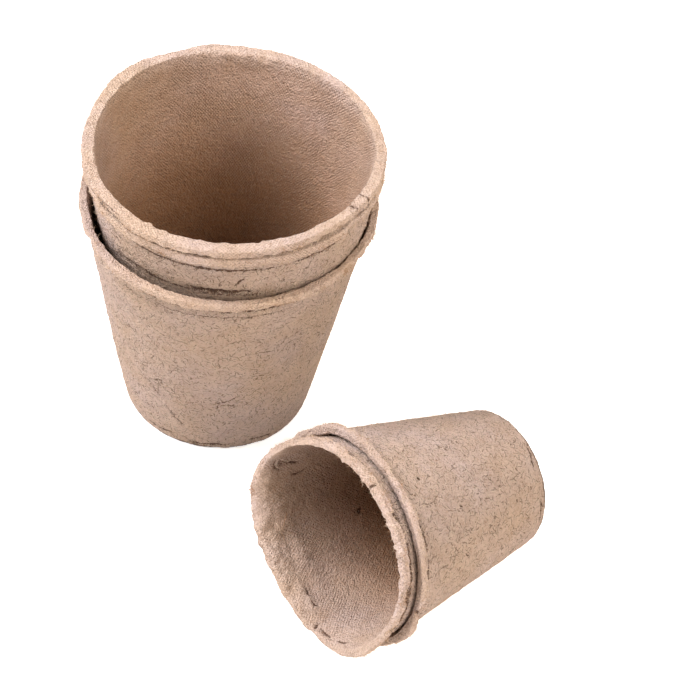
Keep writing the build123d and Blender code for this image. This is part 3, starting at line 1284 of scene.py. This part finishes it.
def upright_nest() -> tuple[FibrePot, ...]:
    """The three large pots.

    Returns:
        The pots, lowest first.
    """
    middle, top = Nest(lift=16.4, shift=(0.26, 0.15)), Nest(lift=LARGE.lip_drop + 0.3)
    waves = (Wave(2, 1.0, 72), Wave(3, 0.4, 4))
    stand = Seat((0, 0, 0))
    middle_seat = stand.shifted(middle.lift, middle.shift)
    middle_in = middle.set_in(LARGE, 0)
    free = LARGE.height - middle.lift
    return (
        FibrePot(
            name="upright_bottom_pot", body="bottom_pot", mould=LARGE, seat=stand, seed=11,
            waves=(Wave(2, 0.5, 51), Wave(3, 0.2, 16)), wave_start=LARGE.floor + LARGE.floor_round,
            wave_full=LARGE.height, rim_lean=(0.7, 0), fine_inside=22, dent=0.35,
            cracks=cracked(
                OUTER,
                # The first two are level lines of painted shade just under the lip.
                (276, 75.6, 62, 0, 0, 0.5, 0.6, 0.1),
                (268, 72.4, 90, 0.6, 0, 0.45, 0.2, 0.12),
                (240.8, 25.9, 8.5, -55, 0.14, 0.34, 0.7, 0.25),
                (246, 31.5, 5.2, 30, 0.14, 0.3, 0.4, 0.25),
                (250.9, 16.2, 6.2, -62, 0.12, 0.34, 0.6, 0.25),
                (256, 12.5, 5.6, -50, 0.1, 0.32, 0.5, 0.25),
                (280.2, 29.5, 10, 30, -0.14, 0.32, 0.4, 0.2),
                (274, 2.6, 15, 3, 0, 0.6, 0.7, 0.2),
                (306, 3.2, 10, -9, 0, 0.55, 0.7, 0.2),
                (243, 3.4, 12, 8, 0, 0.5, 0.7, 0.2),
            ),
            bites=(Bite(216, 9, 0.5, 0.8), Bite(331, 5, 0.4, 0.5), Bite(300, 14, 0.1, 0.5)),
            swellings=(Swelling(OUTER, 188, 44, 34, 34, 0.6),),
            tufts=(
                Tuft(LIP_EDGE, 60, 331, 5, length=(0.8, 2.4), thickness=0.08, stand=0.7),
                Tuft(LIP_EDGE, 50, 353, 6, length=(0.8, 2.2), thickness=0.08, stand=0.7),
                Tuft(LIP_TOP, 60, 216, 14, length=(0.6, 1.6), thickness=0.07, stand=0.3),
            ),
        ),
        FibrePot(
            name="upright_middle_pot", body="middle_pot", mould=LARGE, seat=middle_seat, seed=23,
            set_in=middle_in, waves=waves, wave_start=free, wave_full=LARGE.height + top.lift,
            rim_lean=(-1.2, 0.3), fine_outside=22, fine_inside=8,
            cracks=cracked(
                OUTER,
                (282.4, 69.5, 5.6, 52, 0.08, 0.34, 0.5, 0.25),
                # The three below are level lines of painted shade, one just above the bottom pot's lip and
                # two under this pot's own lip.
                (275, 65.3, 20, 0, 0, 0.8, 0.5, 0.2),
                (262, 74.6, 60, 0, 0, 0.4, 0.35, 0.1),
                (318, 74.9, 24, 0, 0, 0.45, 0.5, 0.1),
            ),
            bites=(Bite(330.6, 9, 0.7, 1.1), Bite(214, 16, 0.3, 0.6), Bite(250, 10, 0.1, 0.5)),
            swellings=(
                Swelling(OUTER, 352, 65, 26, 6, 0.75),
                Swelling(OUTER, 180, 66, 8, 6, 0.7),
                Swelling(OUTER, 222, 65, 9, 5, 0.5),
                # Painted shade on the wall just above the bottom pot's lip.
                Swelling(OUTER, 262, 64, 30, 0.7, 0, 0, 0.6),
                Swelling(OUTER, 236, 64.6, 11, 0.9, 0, 0, 0.55),
            ),
        ),
        FibrePot(
            name="upright_top_pot", body="top_pot", mould=LARGE, seat=middle_seat.shifted(top.lift), seed=37,
            set_in=top.set_in(LARGE, middle_in), waves=waves, wave_start=free - top.lift,
            wave_full=LARGE.height, rim_lean=(-1.2, 0.3), fine_outside=6,
            cracks=cracked(
                LIP,
                (340.5, 80, 5, 78, 0.1, 0.35, 0.5, 0.3),
                (332.7, 80, 4, 70, 0.1, 0.3, 0.4, 0.25),
                (229, 79.2, 9, 12, 0.1, 0.3, 0.5, 0.2),
            ) + cracked(INSIDE, (96, 77, 26, 4, 0.06, 0.5, 0.12, 0.1)),
            bites=(
                Bite(320, 44, 0.3, 0.8), Bite(226, 26, 0.2, 0.9), Bite(262, 12, 0.1, 0.5),
                Bite(147, 30, -0.9), Bite(110, 14, -0.7),
                Bite(290, 2, 0, 0.4, 0.5), Bite(246, 2, 0, 0.4, 0.5),
            ),
            # The fold inside at 92 degrees carries a painted highlight, and the crack just under it painted
            # shade.
            swellings=(Swelling(LIP, 150, 80, 11, 20, 0.5), Swelling(INSIDE, 92, 79, 12, 3, 0.5, 0.4)),
            tufts=(
                Tuft(LIP_EDGE, 60, 355, 7, length=(0.8, 2.2), thickness=0.08, stand=0.7),
                Tuft(LIP_EDGE, 40, 222, 5, length=(0.8, 1.8), thickness=0.09, stand=0.4),
            ),
        ),
    )


def lying_nest() -> tuple[FibrePot, ...]:
    """The two small pots on their side.

    Returns:
        The pots, the outer one first.
    """
    inner = Nest(lift=7.2)
    bearing, tilt = math.radians(42.1), math.radians(11.4147)
    mouth = (-math.cos(bearing) * math.cos(tilt), -math.sin(bearing) * math.cos(tilt), math.sin(tilt))
    lying = Seat((89.0, -38.9, 20.543), (math.sin(bearing), -math.cos(bearing), 0), mouth)
    return (
        FibrePot(
            name="lying_outer_pot", body="lying_outer", mould=SMALL, seat=lying, seed=51,
            fine_inside=10, dent=0.25, small_cracks=22,
            cracks=cracked(
                OUTER,
                # The first two are level lines of painted shade under the lip.
                (46, 52.7, 13, 2, 0.03, 0.3, 0.6, 0.1),
                (26, 52.8, 8, -2, 0.03, 0.3, 0.5, 0.1),
                (62.7, 2.2, 10.5, -12, 0.03, 0.3, 0.5, 0.25),
                (20, 2.2, 9, 6, 0.03, 0.4, 0.5, 0.2),
                (74.9, 46.9, 1.5, 40, 0, 0.5, 0.7, 0.1),
                (51.9, 36.1, 1.6, 70, 0, 0.45, 0.6, 0.1),
            ),
            bites=(
                Bite(3.4, 4.6, 1.6, 1.3), Bite(32, 10, 0.3, 0.5), Bite(78, 8, 0.2, 0.4),
                Bite(346, 20, -0.6), Bite(120, 34, -0.6), Bite(160, 14, -0.7),
            ),
        ),
        FibrePot(
            name="lying_inner_pot", body="lying_inner", mould=SMALL, seat=lying.shifted(inner.lift), seed=67,
            set_in=inner.set_in(SMALL, 0), waves=(Wave(2, 0.5, 32), Wave(3, 0.9, 63), Wave(4, 0.6, 24)),
            wave_start=SMALL.height - inner.lift, wave_full=SMALL.height, rim_lean=(-1.0, 1.2),
            fine_outside=12, ragged=0.6, small_cracks=22,
            # Shade painted inside this pot, over the side towards 165 degrees and furthest below the rim at
            # 232 degrees.
            tint=0.12, damp=0.5, damp_bearing=165, dry_bearing=232,
            cracks=cracked(LIP, (79, 57, 4, 80, 0.12, 0.4, 0.5, 0.35)) + cracked(
                INSIDE,
                (173.7, 50, 6.4, -80, 0.15, 0.4, 0.9, 0.1),
                (177, 52.5, 6, -25, 0.2, 0.36, 0.8, 0.1),
                (184, 46.5, 5, 70, -0.2, 0.34, 0.6, 0.05),
                (225.5, 26.4, 2.2, 60, 0, 0.8, 0.9, 0.1),
                (262, 51.2, 4.5, 8, 0.2, 0.4, 0.3, 0.3),
                (270, 51.8, 3, -25, 0.2, 0.4, 0.3, 0.3),
                (283, 55.6, 3, 60, 0.1, 0.36, 0.6, 0.2),
                (290, 55.2, 6, 4, 0.08, 0.4, 0.3, 0.2),
                (303, 54.8, 5, -6, 0.1, 0.4, 0.3, 0.2),
            ),
            bites=(
                Bite(100, 3, 0.2, 0.4), Bite(60, 5, 0.4, 0.6), Bite(20, 8, 0.5, 0.8), Bite(262, 6, 0.6, 0.9),
                Bite(284, 5, 1.0, 1.0), Bite(352, 6, 0.6, 0.9), Bite(140, 5, 0.4, 0.5),
                Bite(312, 24, -0.6), Bite(22, 56, 0.8), Bite(101, 2.2, 0, 0, 0.8), Bite(63, 1.8, 0, 0, 0.7),
                Bite(46, 1.6, 0, 0, 0.6), Bite(38, 2.4, 0, 0, 0.5), Bite(84, 2, 0, 0, 0.5),
                Bite(236, 5, 0, 0, 0.6), Bite(214, 6, 0, 0, 0.8), Bite(252, 4, 0, 0, 0.5),
            ),
            swellings=(
                Swelling(MOUTH, 232, 55.5, 15, 4.5, 0.8, 0.9),
                Swelling(INSIDE, 264, 52.9, 4.2, 1.8, 0.9, 0.9),
                Swelling(MOUTH, 196, 55.5, 9, 3.5, 0.5, 0.5),
                Swelling(INSIDE, 205, 47, 6, 5, 0.6, 0.3),
                Swelling(INSIDE, 172, 45, 5, 4, 0.6),
                Swelling(INSIDE, 222, 46, 5, 3, -0.6),
                Swelling(INSIDE, 246, 47.5, 9, 2.5, 0.7),
                Swelling(INSIDE, 195, 38, 7, 5, 0.5),
                # Painted shade on the wall between this pot's lip and the outer pot's.
                Swelling(OUTER, 20, 53.0, 30, 1.0, 0, 0, 0.8),
                Swelling(OUTER, 100, 53.1, 20, 0.8, 0, 0, 0.55),
                # A dent with painted shade in it.
                Swelling(INSIDE, 176, 53, 5, 3, -0.5, 0, 0.5),
                Swelling(MOUTH, 40, 56.5, 20, 2.5, 0.5, 0.5),
            ),
            tufts=(
                Tuft(LIP_FACE, 60, 196, 4, length=(0.8, 2.0), thickness=0.08, stand=0.7),
                Tuft(LIP_TOP, 200, 235, 90, length=(0.5, 1.3), thickness=0.07, stand=0.4),
                Tuft(LIP_TOP, 160, 50, 110, length=(0.4, 1.2), thickness=0.06, stand=0.4),
            ),
            strands=(
                Strand((215.6, 52.9), (231.9, 51.3), 0.8, 0.16),
                Strand((213, 49.5), (226, 53.5), 0.5, 0.13),
                Strand((60, 56.6), (66, 52.4), 1.6, 0.16),
                Strand((64, 56.4), (60, 53.5), 1.2, 0.12),
            ),
        ),
    )


def measured(name: str, sizes: dict) -> None:
    """Keeps the box of what is shown now.

    Args:
        name: What to call it.
        sizes: Every box so far, to which this one is added.
    """
    sizes[name] = [list(corner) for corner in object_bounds()]


def main() -> None:
    """Builds the set, piece by piece."""
    logging.basicConfig(level=logging.INFO, format="%(message)s")
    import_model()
    sizes: dict = {}
    measured("cad_box", sizes)
    low, high = (np.array(corner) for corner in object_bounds())
    room = (low + EDGE * MM, high - EDGE * MM)
    Studio().make()
    felt, straw = MouldedFibre().make(), LooseStraw().make()
    for pot in upright_nest() + lying_nest():
        piece, surface = pot.build(room)
        hairs = LooseFibres(pot, room).build(surface)
        for made, material in ((piece, felt), (hairs, straw)):
            made.data.materials.append(material)
            log.info("%s: %d faces", made.name, len(made.data.polygons))
    measured("visual_box", sizes)


if __name__ == "__main__":
    main()
